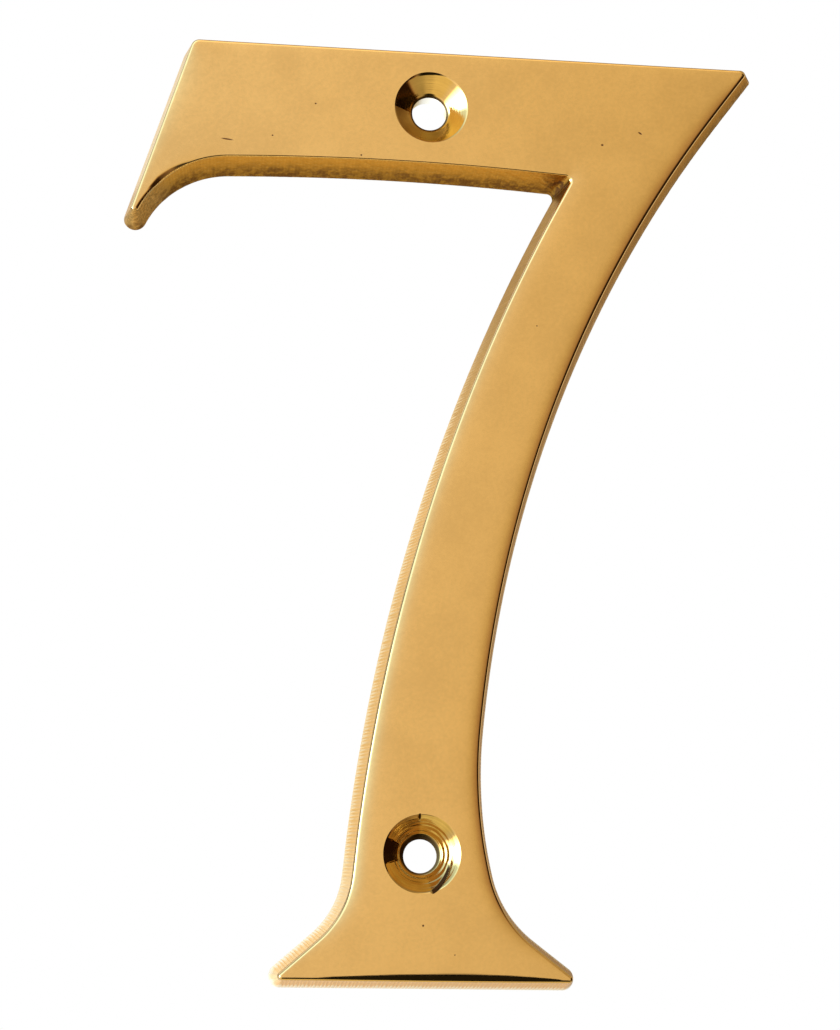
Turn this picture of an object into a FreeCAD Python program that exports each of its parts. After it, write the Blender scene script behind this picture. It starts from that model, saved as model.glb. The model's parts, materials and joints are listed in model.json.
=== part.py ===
import FreeCAD, Part
import math
import os
from collections import namedtuple

import Sketcher

# Brass door number: the numeral seven, cast as one solid with two countersunk screw holes.
# Frame in millimetres: X to the viewer's right, Z up, the polished face towards -Y and the flat
# back on Y = 0, against the door. The origin lies on the back, midway between the screw holes.

# Lengths are in millimetres and angles in degrees. Heights are taken from the foot's front edge,
# drops from the top edge, and left or right reaches from the line through the screw holes.
# Corner points are those of the sharp outline, before its corners are rounded.
SIZES = {
    "thickness": 4.5,             # back to polished face
    "draft_angle": 11.0,          # lean of the cast walls, which widen towards the back
    "edge_radius": 0.35,          # buffed edge round the face
    "face_height": 100.2,         # foot edge to top edge, on the face
    "bar_left": 26.15,            # upper left corner of the bar
    "bar_right": 35.75,           # upper right corner of the bar
    "bar_end_slope": 17.25,       # lean of the bar's left end from upright
    "bar_depth": 12.7,            # top edge to the peak of the bar's underside
    "arch_radius": 305.0,         # shallow arch of the underside
    "arch_peak_left": 5.8,        # place of that arch's peak
    "serif_drop": 19.8,           # rounded tip of the serif that hangs from the bar
    "serif_radius": 11.25,        # inner curve of the serif
    "inner_corner_right": 15.95,  # corner where the underside meets the stem
    "inner_corner_radius": 1.5,   # rounding of that corner
    "stem_left_radius": 198.5,    # sweep of the stem's left edge
    "ankle_left": 7.2,            # a point of that edge, just above the foot
    "ankle_height": 8.5,
    "stem_right_radius": 138.0,   # sweep of the stem's right edge
    "stem_right_straight": 6.0,   # straight run of that edge below the upper right corner
    "waist_right": 5.8,           # narrowest place of the right edge
    "waist_height": 21.6,
    "waist_radius": 47.0,
    "foot_left": 15.0,            # left toe
    "foot_right": 16.4,           # right toe
    "toe_angle_left": 41.0,       # rise of the left toe
    "toe_angle_right": 37.0,      # rise of the right toe
    "flare_radius_left": 10.0,    # curve from the stem into the left toe
    "flare_radius_right": 12.5,   # curve from the stem into the right toe
    "tip_radius": 0.35,           # toes and serif, rounded on the face
    "upper_left_radius": 0.9,     # upper left corner, rounded on the face
    "upper_right_radius": 0.5,    # upper right corner, the same from face to back
    "screw_diameter": 4.2,        # clearance hole
    "countersink_diameter": 8.0,  # at the face
    "countersink_angle": 90.0,
    "upper_hole_drop": 6.4,
    "lower_hole_height": 12.8,
}

SHARP_CORNER = ("top", "upper_right_side")

HOLE_SPACING = "(Sizes.face_height - Sizes.upper_hole_drop - Sizes.lower_hole_height)"
FOOT_BELOW = f"({HOLE_SPACING} / 2 + Sizes.lower_hole_height)"
TOP_ABOVE = f"({HOLE_SPACING} / 2 + Sizes.upper_hole_drop)"

NODE = "numeral_seven"
SAME_PLACE = 1e-4

Vector = FreeCAD.Vector
UP = Vector(0, 0, 1)

# A curve of the outline has a way of travel: clockwise round the numeral, seen from the front, so
# the metal lies to the right. A clockwise arc bulges outwards and any other arc curves inwards.
Line = namedtuple("Line", "point direction")
Arc = namedtuple("Arc", "centre radius clockwise")


def heading(angle):
    """Unit vector at an angle in degrees, anticlockwise from the right."""
    return Vector(math.cos(math.radians(angle)), math.sin(math.radians(angle)), 0)


def moved_right(curve, distance):
    """The curve at a distance to the right of its travel."""
    if isinstance(curve, Line):
        right = Vector(curve.direction.y, -curve.direction.x, 0)
        return Line(curve.point + right * distance, curve.direction)
    change = -distance if curve.clockwise else distance
    return Arc(curve.centre, curve.radius + change, curve.clockwise)


def nearest_on(line, point):
    """Point of a line that is nearest to a given point."""
    return line.point + line.direction * (point - line.point).dot(line.direction)


def meeting(first, second, near):
    """Point where two curves meet, the one nearest to a given point."""
    if isinstance(first, Line) and isinstance(second, Line):
        across = Vector(-second.direction.y, second.direction.x, 0)
        travel = (second.point - first.point).dot(across) / first.direction.dot(across)
        return first.point + first.direction * travel
    if isinstance(second, Line):
        first, second = second, first
    if isinstance(first, Line):
        middle = nearest_on(first, second.centre)
        along = first.direction
        half = math.sqrt(second.radius ** 2 - (second.centre - middle).Length ** 2)
    else:
        between = second.centre - first.centre
        gap = between.Length
        ahead = (first.radius ** 2 - second.radius ** 2 + gap ** 2) / (2 * gap)
        middle = first.centre + between * (ahead / gap)
        along = Vector(-between.y, between.x, 0) / gap
        half = math.sqrt(first.radius ** 2 - ahead ** 2)
    both = (middle + along * half, middle - along * half)
    return min(both, key=lambda point: (point - near).Length)


def rounding(first, second, radius, near, clockwise):
    """Arc of a given radius that is tangent to two curves."""
    shift = radius if clockwise else -radius
    centre = meeting(moved_right(first, shift), moved_right(second, shift), near)
    return Arc(centre, radius, clockwise)


def joint(first, second):
    """Point where two tangent curves touch."""
    if isinstance(first, Line):
        return nearest_on(first, second.centre)
    if isinstance(second, Line):
        return nearest_on(second, first.centre)
    between = second.centre - first.centre
    reach = between * (first.radius / between.Length)
    same_side = first.clockwise == second.clockwise
    if same_side and first.radius < second.radius:
        return first.centre - reach
    return first.centre + reach


def hole_spacing(size):
    return size["face_height"] - size["upper_hole_drop"] - size["lower_hole_height"]


def face_outline(size):
    """Curves of the face in order of travel from the top edge, and the points that place them."""
    top_z = hole_spacing(size) / 2 + size["upper_hole_drop"]
    foot_z = top_z - size["face_height"]
    tip = size["tip_radius"]

    upper_left = Vector(-size["bar_left"], top_z, 0)
    upper_right = Vector(size["bar_right"], top_z, 0)
    right_toe = Vector(size["foot_right"], foot_z, 0)
    left_toe = Vector(-size["foot_left"], foot_z, 0)
    ankle = Vector(-size["ankle_left"], foot_z + size["ankle_height"], 0)

    top = Line(upper_left, heading(0))
    waist_centre = Vector(size["waist_right"] + size["waist_radius"], foot_z + size["waist_height"], 0)
    waist = Arc(waist_centre, size["waist_radius"], False)
    sweep = size["stem_right_radius"]
    straight = size["stem_right_straight"]
    about_waist = Arc(waist_centre, sweep - size["waist_radius"], False)
    about_corner = Arc(upper_right, math.hypot(sweep, straight), False)
    stem_right = Arc(meeting(about_waist, about_corner, upper_right + heading(0) * sweep), sweep, False)
    straight_end = meeting(stem_right, Arc(upper_right, straight, False), waist_centre)
    upper_right_side = Line(upper_right, (straight_end - upper_right) / straight)

    toe_right = Line(right_toe, heading(-size["toe_angle_right"]))
    flare_right = rounding(waist, toe_right, size["flare_radius_right"], right_toe, False)
    foot = Line(right_toe, heading(180))
    toe_left = Line(left_toe, heading(size["toe_angle_left"]))

    arch_peak = Vector(-size["arch_peak_left"], top_z - size["bar_depth"], 0)
    arch = Arc(arch_peak - heading(90) * size["arch_radius"], size["arch_radius"], False)
    inner_line = Line(Vector(size["inner_corner_right"], 0, 0), heading(90))
    inner_corner = meeting(inner_line, arch, arch_peak)
    sweep = size["stem_left_radius"]
    about_ankle = Arc(ankle, sweep, True)
    about_inner = Arc(inner_corner, sweep, True)
    stem_left = Arc(meeting(about_ankle, about_inner, ankle + heading(0) * sweep), sweep, True)
    flare_left = rounding(toe_left, stem_left, size["flare_radius_left"], ankle, False)

    bar_end = Line(upper_left, heading(90 - size["bar_end_slope"]))
    tip_level = Line(upper_left - heading(90) * (size["serif_drop"] - tip), heading(0))
    serif_tip = meeting(moved_right(bar_end, tip), tip_level, upper_left)
    about_arch = Arc(arch.centre, size["arch_radius"] - size["serif_radius"], False)
    about_tip = Arc(serif_tip, size["serif_radius"] + tip, False)
    serif_centre = meeting(about_arch, about_tip, serif_tip + heading(0) * size["serif_radius"])
    serif = Arc(serif_centre, size["serif_radius"], False)

    curves = {
        "top": top,
        "upper_right_side": upper_right_side,
        "stem_right": stem_right,
        "waist": waist,
        "flare_right": flare_right,
        "toe_right": toe_right,
        "right_toe_round": rounding(toe_right, foot, tip, right_toe, True),
        "foot": foot,
        "left_toe_round": rounding(foot, toe_left, tip, left_toe, True),
        "toe_left": toe_left,
        "flare_left": flare_left,
        "stem_left": stem_left,
        "inner_round": rounding(stem_left, arch, size["inner_corner_radius"], inner_corner, False),
        "arch": arch,
        "serif": serif,
        "serif_round": Arc(serif_tip, tip, True),
        "bar_end": bar_end,
        "upper_left_round": rounding(bar_end, top, size["upper_left_radius"], upper_left, True),
    }
    points = {
        "upper_left": upper_left,
        "right_toe": right_toe,
        "left_toe": left_toe,
        "ankle": ankle,
        "inner_corner": inner_corner,
    }
    return curves, points


def angle_about(centre, point):
    return math.atan2(point.y - centre.y, point.x - centre.x)


def drawn_curve(curve, entry, way_out):
    """Sketch geometry of a curve between two joints."""
    if isinstance(curve, Line):
        return Part.LineSegment(entry, way_out)
    first, last = (way_out, entry) if curve.clockwise else (entry, way_out)
    circle = Part.Circle(curve.centre, UP, curve.radius)
    start = angle_about(curve.centre, first)
    end = angle_about(curve.centre, last)
    return Part.ArcOfCircle(circle, start, end if end > start else end + 2 * math.pi)


def runs_backwards(curve):
    """A sketch arc always runs anticlockwise, so a clockwise one is entered at its end."""
    return isinstance(curve, Arc) and curve.clockwise


def bound(sketch, name, constraint, expression):
    """Adds a named constraint to a sketch and binds it to the sheet."""
    index = sketch.addConstraint(constraint)
    sketch.renameConstraint(index, name)
    sketch.setExpression(f"Constraints.{name}", expression)


def origin_plane(body, role):
    return next(plane for plane in body.Origin.OriginFeatures if plane.Role == role)


def face_sketch(body, name):
    """Empty sketch on the plane of the polished face."""
    sketch = body.newObject("Sketcher::SketchObject", name)
    sketch.AttachmentSupport = [(origin_plane(body, "XZ_Plane"), "")]
    sketch.MapMode = "FlatFace"
    sketch.setExpression("AttachmentOffset.Base.z", "Sizes.thickness")
    return sketch


def make_sheet(doc):
    sheet = doc.addObject("Spreadsheet::Sheet", "Sizes")
    for row, (alias, value) in enumerate(SIZES.items(), start=1):
        sheet.set(f"A{row}", alias.replace("_", " "))
        sheet.set(f"B{row}", str(value))
        sheet.setAlias(f"B{row}", alias)
    doc.recompute()
    return sheet


def make_outline(body, size):
    """The numeral's face as lines and tangent arcs, fully tied to the sheet."""
    curves, points = face_outline(size)
    sketch = face_sketch(body, "face_outline")
    names = list(curves)
    loop = list(curves.values())
    corner = Vector(size["bar_right"], points["upper_left"].y, 0)
    joints = [
        corner if (names[i - 1], names[i]) == SHARP_CORNER else joint(loop[i - 1], loop[i])
        for i in range(len(loop))
    ]
    number = {}
    for i, name in enumerate(names):
        way_out = joints[(i + 1) % len(loop)]
        number[name] = sketch.addGeometry(drawn_curve(loop[i], joints[i], way_out))
    for name, place in points.items():
        number[name] = sketch.addGeometry(Part.Point(place), True)

    for i, curve in enumerate(loop):
        follower = loop[(i + 1) % len(loop)]
        leave = 1 if runs_backwards(curve) else 2
        enter = 2 if runs_backwards(follower) else 1
        after = names[(i + 1) % len(loop)]
        kind = "Coincident" if (names[i], after) == SHARP_CORNER else "Tangent"
        sketch.addConstraint(Sketcher.Constraint(kind, number[names[i]], leave, number[after], enter))

    for name in ("top", "foot"):
        sketch.addConstraint(Sketcher.Constraint("Horizontal", number[name]))
    corner_curves = {
        "upper_left": ("top", "bar_end"),
        "right_toe": ("foot", "toe_right"),
        "left_toe": ("foot", "toe_left"),
        "ankle": ("stem_left",),
        "inner_corner": ("stem_left", "arch"),
    }
    for point, on_curves in corner_curves.items():
        for curve in on_curves:
            sketch.addConstraint(Sketcher.Constraint("PointOnObject", number[point], 1, number[curve]))

    radii = {
        "stem_right": "stem_right_radius",
        "waist": "waist_radius",
        "flare_right": "flare_radius_right",
        "right_toe_round": "tip_radius",
        "left_toe_round": "tip_radius",
        "flare_left": "flare_radius_left",
        "stem_left": "stem_left_radius",
        "inner_round": "inner_corner_radius",
        "arch": "arch_radius",
        "serif": "serif_radius",
        "serif_round": "tip_radius",
        "upper_left_round": "upper_left_radius",
    }
    for curve, alias in radii.items():
        radius = Sketcher.Constraint("Radius", number[curve], size[alias])
        bound(sketch, f"{curve}_radius", radius, f"Sizes.{alias}")

    def rise(name, line, degrees, expression):
        """Sets the direction of a line, anticlockwise from the right."""
        bound(sketch, name, Sketcher.Constraint("Angle", number[line], math.radians(degrees)), expression)

    def across(name, point, end, distance, expression):
        """Places a point at a distance right of the hole line, or left of it if negative."""
        origin = (-1, 1)
        where = (number[point], end)
        pair = origin + where if distance > 0 else where + origin
        bound(sketch, name, Sketcher.Constraint("DistanceX", *pair, abs(distance)), expression)

    def upwards(name, point, end, distance, expression):
        """Places a point at a distance above the origin, or below it if negative."""
        origin = (-1, 1)
        where = (number[point], end)
        pair = origin + where if distance > 0 else where + origin
        bound(sketch, name, Sketcher.Constraint("DistanceY", *pair, abs(distance)), expression)

    rise("toe_right_rise", "toe_right", -size["toe_angle_right"], "-Sizes.toe_angle_right * 1 deg")
    rise("toe_left_rise", "toe_left", size["toe_angle_left"], "Sizes.toe_angle_left * 1 deg")
    rise("bar_end_rise", "bar_end", 90 - size["bar_end_slope"], "(90 - Sizes.bar_end_slope) * 1 deg")

    straight = Sketcher.Constraint("Distance", number["upper_right_side"], size["stem_right_straight"])
    bound(sketch, "straight_length", straight, "Sizes.stem_right_straight")
    across("bar_left", "upper_left", 1, points["upper_left"].x, "Sizes.bar_left")
    across("bar_right", "top", 2, size["bar_right"], "Sizes.bar_right")
    across("foot_left", "left_toe", 1, points["left_toe"].x, "Sizes.foot_left")
    across("foot_right", "right_toe", 1, points["right_toe"].x, "Sizes.foot_right")
    across("ankle_left", "ankle", 1, points["ankle"].x, "Sizes.ankle_left")
    across("inner_right", "inner_corner", 1, points["inner_corner"].x, "Sizes.inner_corner_right")
    waist = curves["waist"].centre
    across("waist_centre_right", "waist", 3, waist.x, "Sizes.waist_right + Sizes.waist_radius")
    arch = curves["arch"].centre
    across("arch_centre_left", "arch", 3, arch.x, "Sizes.arch_peak_left")

    upwards("top_level", "upper_left", 1, points["upper_left"].y, TOP_ABOVE)
    upwards("foot_level", "left_toe", 1, points["left_toe"].y, FOOT_BELOW)
    upwards("ankle_level", "ankle", 1, points["ankle"].y, f"{FOOT_BELOW} - Sizes.ankle_height")
    upwards("waist_level", "waist", 3, waist.y, f"{FOOT_BELOW} - Sizes.waist_height")
    upwards("arch_level", "arch", 3, arch.y, f"Sizes.arch_radius + Sizes.bar_depth - {TOP_ABOVE}")
    tip_level = f"{TOP_ABOVE} - Sizes.serif_drop + Sizes.tip_radius"
    upwards("serif_level", "serif_round", 3, curves["serif_round"].centre.y, tip_level)
    return sketch


def front_face(feature):
    """Name of the flat face that lies furthest to the front."""
    shape = feature.Shape
    front = min(corner.Y for corner in shape.Vertexes)
    for i, face in enumerate(shape.Faces, start=1):
        if all(corner.Y - front < SAME_PLACE for corner in face.Vertexes):
            return f"Face{i}"
    raise RuntimeError("the polished face was not found")


def corner_edge(feature):
    """Name of the upper right edge that runs from the face to the back."""
    shape = feature.Shape
    depth = shape.BoundBox.YLength
    through = [i for i, edge in enumerate(shape.Edges, start=1)
               if abs(edge.Vertexes[0].Y - edge.Vertexes[-1].Y) > depth / 2]
    return f"Edge{max(through, key=lambda i: shape.Edges[i - 1].CenterOfMass.x)}"


def make_numeral(doc, size):
    body = doc.addObject("PartDesign::Body", NODE)
    body.Label = NODE
    outline = make_outline(body, size)
    doc.recompute()

    casting = body.newObject("PartDesign::Pad", "casting")
    casting.Profile = outline
    casting.Reversed = True
    casting.setExpression("Length", "Sizes.thickness")
    casting.setExpression("TaperAngle", "Sizes.draft_angle")
    doc.recompute()

    corner = body.newObject("PartDesign::Fillet", "upper_right_corner")
    corner.Base = (casting, [corner_edge(casting)])
    corner.setExpression("Radius", "Sizes.upper_right_radius")
    doc.recompute()

    edge = body.newObject("PartDesign::Fillet", "buffed_edge")
    edge.Base = (corner, [front_face(corner)])
    edge.setExpression("Radius", "Sizes.edge_radius")
    doc.recompute()

    centres = face_sketch(body, "screw_centres")
    radius = size["screw_diameter"] / 2
    reach = hole_spacing(size) / 2
    for side, name in ((1, "upper_hole"), (-1, "lower_hole")):
        circle = centres.addGeometry(Part.Circle(Vector(0, side * reach, 0), UP, radius))
        centres.addConstraint(Sketcher.Constraint("PointOnObject", circle, 3, -2))
        width = Sketcher.Constraint("Radius", circle, radius)
        bound(centres, f"{name}_radius", width, "Sizes.screw_diameter / 2")
        pair = (-1, 1, circle, 3) if side > 0 else (circle, 3, -1, 1)
        level = Sketcher.Constraint("DistanceY", *pair, reach)
        bound(centres, f"{name}_level", level, f"{HOLE_SPACING} / 2")
    doc.recompute()

    holes = body.newObject("PartDesign::Hole", "screw_holes")
    holes.Profile = centres
    holes.DepthType = "ThroughAll"
    holes.HoleCutType = "Countersink"
    holes.HoleCutCustomValues = True
    holes.setExpression("Diameter", "Sizes.screw_diameter")
    holes.setExpression("HoleCutDiameter", "Sizes.countersink_diameter")
    holes.setExpression("HoleCutCountersinkAngle", "Sizes.countersink_angle * 1 deg")
    doc.recompute()

    if not holes.Shape.Volume < edge.Shape.Volume:
        raise RuntimeError("the screw holes cut nothing")
    body.Placement = FreeCAD.Placement()
    return body


def check(doc, body):
    """Stops before anything is written if a feature failed or the solid isn't sound."""
    doc.recompute()
    for item in doc.Objects:
        if "Invalid" in item.State or "Error" in item.State:
            raise RuntimeError(f"{item.Name} failed: {item.State}")
    for item in doc.Objects:
        if item.TypeId == "Sketcher::SketchObject" and not item.FullyConstrained:
            raise RuntimeError(f"{item.Name} is not fully constrained")
    shape = body.Shape
    if shape.isNull() or not shape.isValid() or len(shape.Solids) != 1:
        raise RuntimeError(f"{body.Label} is not one sound solid")


def main():
    doc = FreeCAD.newDocument("door_number")
    sheet = make_sheet(doc)
    size = {alias: float(sheet.get(alias)) for alias in SIZES}
    body = make_numeral(doc, size)
    check(doc, body)
    os.makedirs("parts", exist_ok=True)
    body.Shape.exportStep(f"parts/{body.Label}.step")
    box = body.Shape.optimalBoundingBox()
    print(body.Label, "volume", round(body.Shape.Volume, 1), "mm3, box",
          round(box.XLength, 2), round(box.YLength, 2), round(box.ZLength, 2))


main()
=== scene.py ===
import json
import math

import bmesh
import bpy
import numpy as np
from mathutils import Matrix, Vector, noise


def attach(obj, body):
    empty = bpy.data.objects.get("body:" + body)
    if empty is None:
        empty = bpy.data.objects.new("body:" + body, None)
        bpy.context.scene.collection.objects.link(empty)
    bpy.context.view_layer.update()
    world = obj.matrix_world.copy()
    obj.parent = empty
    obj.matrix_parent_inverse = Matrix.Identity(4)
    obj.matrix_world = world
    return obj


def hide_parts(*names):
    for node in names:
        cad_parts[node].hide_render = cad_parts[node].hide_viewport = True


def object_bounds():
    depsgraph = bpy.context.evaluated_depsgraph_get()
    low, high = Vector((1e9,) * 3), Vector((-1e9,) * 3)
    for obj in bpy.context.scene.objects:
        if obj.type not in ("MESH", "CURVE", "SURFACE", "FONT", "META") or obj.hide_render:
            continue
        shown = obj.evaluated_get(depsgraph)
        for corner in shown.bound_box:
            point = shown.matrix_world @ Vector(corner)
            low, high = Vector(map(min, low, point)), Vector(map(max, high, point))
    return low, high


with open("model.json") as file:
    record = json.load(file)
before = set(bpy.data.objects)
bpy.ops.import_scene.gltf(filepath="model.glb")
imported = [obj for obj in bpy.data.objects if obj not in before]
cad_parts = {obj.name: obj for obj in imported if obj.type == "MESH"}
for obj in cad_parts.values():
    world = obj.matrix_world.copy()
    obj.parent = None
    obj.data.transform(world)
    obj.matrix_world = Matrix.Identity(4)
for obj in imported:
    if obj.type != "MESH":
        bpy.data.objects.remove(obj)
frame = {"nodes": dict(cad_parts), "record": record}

bl_info = {
    "name": "Brass door number",
    "version": (1, 0, 0),
    "blender": (4, 5, 0),
    "location": "View3D > Sidebar > Door number",
    "description": "Finishes a cast numeral seven in polished brass and sets it in a plain studio",
    "category": "Object",
}

# The numeral stands upright: X to the viewer's right, Z up, its polished face towards -Y and its
# flat back on Y = 0. Lengths are in metres, and MM turns millimetres into them.
MM = 0.001
NODE = "numeral_seven"
CAD_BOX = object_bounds()
HOLES = [Vector(m["pos_m"]) for m in frame["record"]["mounts"] if m["kind"] == "bore"]

FACE, WALL, CONE, BACK = range(4)

HOLE_RISE = abs(HOLES[0].z) / MM     # hole to origin, in millimetres
SMOOTH_BELOW = math.radians(32)      # edges that turn less than this are shaded smooth
SENSOR_WIDTH = 36                    # of the camera, in millimetres
FOCAL_SHARE = 2189.3 / 1030          # focal length over the height of the picture
TEETH_PITCH = 0.38                   # linishing marks along the walls, in millimetres


class DoorNumberSizes(bpy.types.PropertyGroup):
    """Sizes and colours of the numeral."""

    thickness: bpy.props.FloatProperty(
        name="Thickness", description="Back to polished face",
        default=CAD_BOX[1].y - CAD_BOX[0].y, unit="LENGTH")
    draft: bpy.props.FloatProperty(
        name="Draft", description="Lean of the cast walls, which widen towards the back",
        default=math.radians(11), subtype="ANGLE")
    column_step: bpy.props.FloatProperty(
        name="Column step", description="Spacing of the mesh columns round the back edge",
        default=0.18 * MM, unit="LENGTH", precision=5)
    edge_radius: bpy.props.FloatProperty(
        name="Edge radius", description="Buffed edge round the face",
        default=0.33 * MM, unit="LENGTH", precision=5)
    crown_width: bpy.props.FloatProperty(
        name="Crown width", description="Band inside the edge where the polished face is crowned",
        default=5.0 * MM, unit="LENGTH", precision=5)
    crown_angle: bpy.props.FloatProperty(
        name="Crown angle", description="Lean of the crowned face at its edge",
        default=math.radians(2.5), subtype="ANGLE")
    roll_width: bpy.props.FloatProperty(
        name="Roll width",
        description="Band inside the right edges where the buffing rolls the face over",
        default=1.9 * MM, unit="LENGTH", precision=5)
    roll_angle: bpy.props.FloatProperty(
        name="Roll angle", description="Further lean of the face at its right edges",
        default=math.radians(8.5), subtype="ANGLE")
    left_width: bpy.props.FloatProperty(
        name="Left roll width",
        description="Band inside the left edges where the buffing rolls the face over",
        default=2.0 * MM, unit="LENGTH", precision=5)
    left_angle: bpy.props.FloatProperty(
        name="Left roll angle", description="Further lean of the face at its left edges",
        default=math.radians(9), subtype="ANGLE")
    crescent_width: bpy.props.FloatProperty(
        name="Foot crescent", description="Width of the rolled facet along the foot, at its widest",
        default=0.43 * MM, unit="LENGTH", precision=5)
    crescent_angle: bpy.props.FloatProperty(
        name="Crescent angle", description="Lean of that facet",
        default=math.radians(19), subtype="ANGLE")
    striation_depth: bpy.props.FloatProperty(
        name="Striations", description="Depth of the linishing marks on the walls",
        default=0.014 * MM, unit="LENGTH", precision=5)
    grain_depth: bpy.props.FloatProperty(
        name="Casting grain", description="Depth of the cast grain under the bar",
        default=0.06 * MM, unit="LENGTH", precision=5)
    hole_diameter: bpy.props.FloatProperty(
        name="Screw hole", description="Diameter of the screw holes",
        default=4.2 * MM, unit="LENGTH", precision=5)
    countersink_diameter: bpy.props.FloatProperty(
        name="Countersink", description="Diameter of the countersinks at the face",
        default=8.0 * MM, unit="LENGTH", precision=5)
    brass: bpy.props.FloatVectorProperty(
        name="Brass", description="Colour of the polished metal",
        default=(0.80, 0.47, 0.135), subtype="COLOR", min=0, max=1)
    linished: bpy.props.FloatVectorProperty(
        name="Linished brass", description="Colour of the walls",
        default=(0.83, 0.42, 0.10), subtype="COLOR", min=0, max=1)
    cast: bpy.props.FloatVectorProperty(
        name="Cast brass", description="Colour of the walls under the bar, which kept their cast skin",
        default=(0.53, 0.235, 0.03), subtype="COLOR", min=0, max=1)
    # The worn colour is also the colour of the painted highlight on the left walls.
    worn_and_highlight: bpy.props.FloatVectorProperty(
        name="Worn brass",
        description="Colour of the walls where the linishing bared them towards the back",
        default=(0.98, 0.70, 0.35), subtype="COLOR", min=0, max=1)
    # Patina is also the colour of the painted dark line along the left walls and of the painted shadow
    # round the holes.
    patina_and_shade: bpy.props.FloatVectorProperty(
        name="Patina", description="Colour of the dirt left on the cast walls",
        default=(0.10, 0.038, 0.010), subtype="COLOR", min=0, max=1)


class DoorNumberStage(bpy.types.PropertyGroup):
    """Camera, floor and light."""

    floor_drop: bpy.props.FloatProperty(
        name="Floor drop", description="Height of the numeral's foot above the floor",
        default=0.35, unit="LENGTH")
    floor_colour: bpy.props.FloatVectorProperty(
        name="Floor", description="Colour of the floor, warm enough to look plain under the cool light",
        default=(0.95, 0.80, 0.62), subtype="COLOR", min=0, max=1)
    camera_distance: bpy.props.FloatProperty(
        name="Distance", description="Camera to the point it looks at",
        default=231.5 * MM, unit="LENGTH")
    camera_turn: bpy.props.FloatProperty(
        name="Turn", description="How far the camera looks to the right",
        default=math.radians(6.5), subtype="ANGLE")
    camera_rise: bpy.props.FloatProperty(
        name="Rise", description="How far the camera looks up",
        default=math.radians(10.87), subtype="ANGLE")
    camera_roll: bpy.props.FloatProperty(
        name="Roll", description="Tilt of the camera about its line of sight",
        default=math.radians(0.738), subtype="ANGLE")
    camera_target: bpy.props.FloatVectorProperty(
        name="Target", description="Point that the camera looks at",
        default=(-0.683 * MM, -4.5 * MM, -5.063 * MM), subtype="XYZ", unit="LENGTH")
    camera_lens: bpy.props.FloatProperty(
        name="Lens", description="Focal length in millimetres on a 36 mm sensor",
        default=FOCAL_SHARE * SENSOR_WIDTH)


def deselect():
    if bpy.context.object and bpy.context.object.mode != "OBJECT":
        bpy.ops.object.mode_set(mode="OBJECT")
    bpy.ops.object.select_all(action="DESELECT")


def smoothstep(low, high, value):
    share = np.clip((value - low) / (high - low), 0.0, 1.0)
    return share * share * (3 - 2 * share)


def unit(vectors):
    return vectors / np.linalg.norm(vectors, axis=1)[:, None]


def back_corners(node):
    """Corners of the back's outer edge as (x, z), anticlockwise seen from the front."""
    mesh = node.data
    back = max(vertex.co.y for vertex in mesh.vertices)
    edges = set()
    for face in mesh.polygons:
        spots = [mesh.vertices[i].co for i in face.vertices]
        if all(back - spot.y < 1e-6 for spot in spots):
            flat = [(round(spot.x, 7), round(spot.z, 7)) for spot in spots]
            edges.update(zip(flat, flat[1:] + flat[:1]))
    following = {a: b for a, b in edges if (b, a) not in edges}
    loops = []
    while following:
        loop = [next(iter(sorted(following)))]
        while loop[-1] in following:
            loop.append(following.pop(loop[-1]))
        loops.append(np.array(loop[:-1]))
    outer = max(loops, key=lambda loop: np.ptp(loop[:, 1]))
    ahead = np.roll(outer, -1, 0)
    area = np.sum(outer[:, 0] * ahead[:, 1] - outer[:, 1] * ahead[:, 0])
    return outer if area > 0 else outer[::-1]


def smooth_columns(corners, step, turn=math.radians(4)):
    """Points on a smooth closed curve through the corners, at most about a step and a turn apart."""
    chords = np.roll(corners, -1, 0) - corners
    lengths = np.linalg.norm(chords, axis=1)
    ways = chords / lengths[:, None]
    before = np.roll(lengths, 1)[:, None]
    after = lengths[:, None]
    # A tangent keeps to the longer chord, which is a straight edge or a wide arc.
    tangents = unit(np.roll(ways, 1, 0) * before + ways * after)
    columns = []
    for i, length in enumerate(lengths):
        j = (i + 1) % len(corners)
        bend = math.acos(min(1.0, float(tangents[i] @ tangents[j])))
        pieces = max(1, round(length / step), math.ceil(bend / turn))
        t = (np.arange(pieces) / pieces)[:, None]
        ends = (2 * t ** 3 - 3 * t ** 2 + 1) * corners[i] + (3 * t ** 2 - 2 * t ** 3) * corners[j]
        bends = (t ** 3 - 2 * t ** 2 + t) * tangents[i] + (t ** 3 - t ** 2) * tangents[j]
        columns.append(ends + length * bends)
    return np.concatenate(columns)


def outward(points):
    """Unit normals of a closed anticlockwise curve, away from what it encloses."""
    along = unit(np.roll(points, -1, 0) - np.roll(points, 1, 0))
    return np.stack([along[:, 1], -along[:, 0]], 1)


def spread_of(points, reach):
    """Way in which each column of the wall leans out towards the back.

    It is the outline's normal, except by a corner that is tighter than a reach. Such a corner keeps its
    radius from face to back: its columns all lean out along its mitre, and those beside it turn that way.
    """
    normals = outward(points)
    slide = np.stack([-normals[:, 1], normals[:, 0]], 1)
    steps = np.linalg.norm(np.roll(points, -1, 0) - points, axis=1)
    turn = np.cross(np.roll(normals, 1, 0), np.roll(normals, -1, 0))
    bend = turn / (steps + np.roll(steps, 1))
    tight = np.flatnonzero(np.abs(bend) > 1 / reach)
    corners = np.split(tight, np.flatnonzero(np.diff(tight) > 8) + 1)
    spread = normals.copy()
    for corner in corners:
        # The corner's columns, with a few of the straight ones on both sides of it.
        within = np.arange(corner[0] - 3, corner[-1] + 4) % len(points)
        start, end = normals[within[0]], normals[within[-1]]
        mitre = (start + end) / (1 + start @ end)
        distance = np.minimum(np.linalg.norm(points - points[within[0]], axis=1),
                              np.linalg.norm(points - points[within[-1]], axis=1))
        share = 1 - smoothstep(0, 6 * MM, distance)
        spread += slide * ((slide @ mitre) * share)[:, None]
        spread[within] = mitre
    return spread


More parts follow.
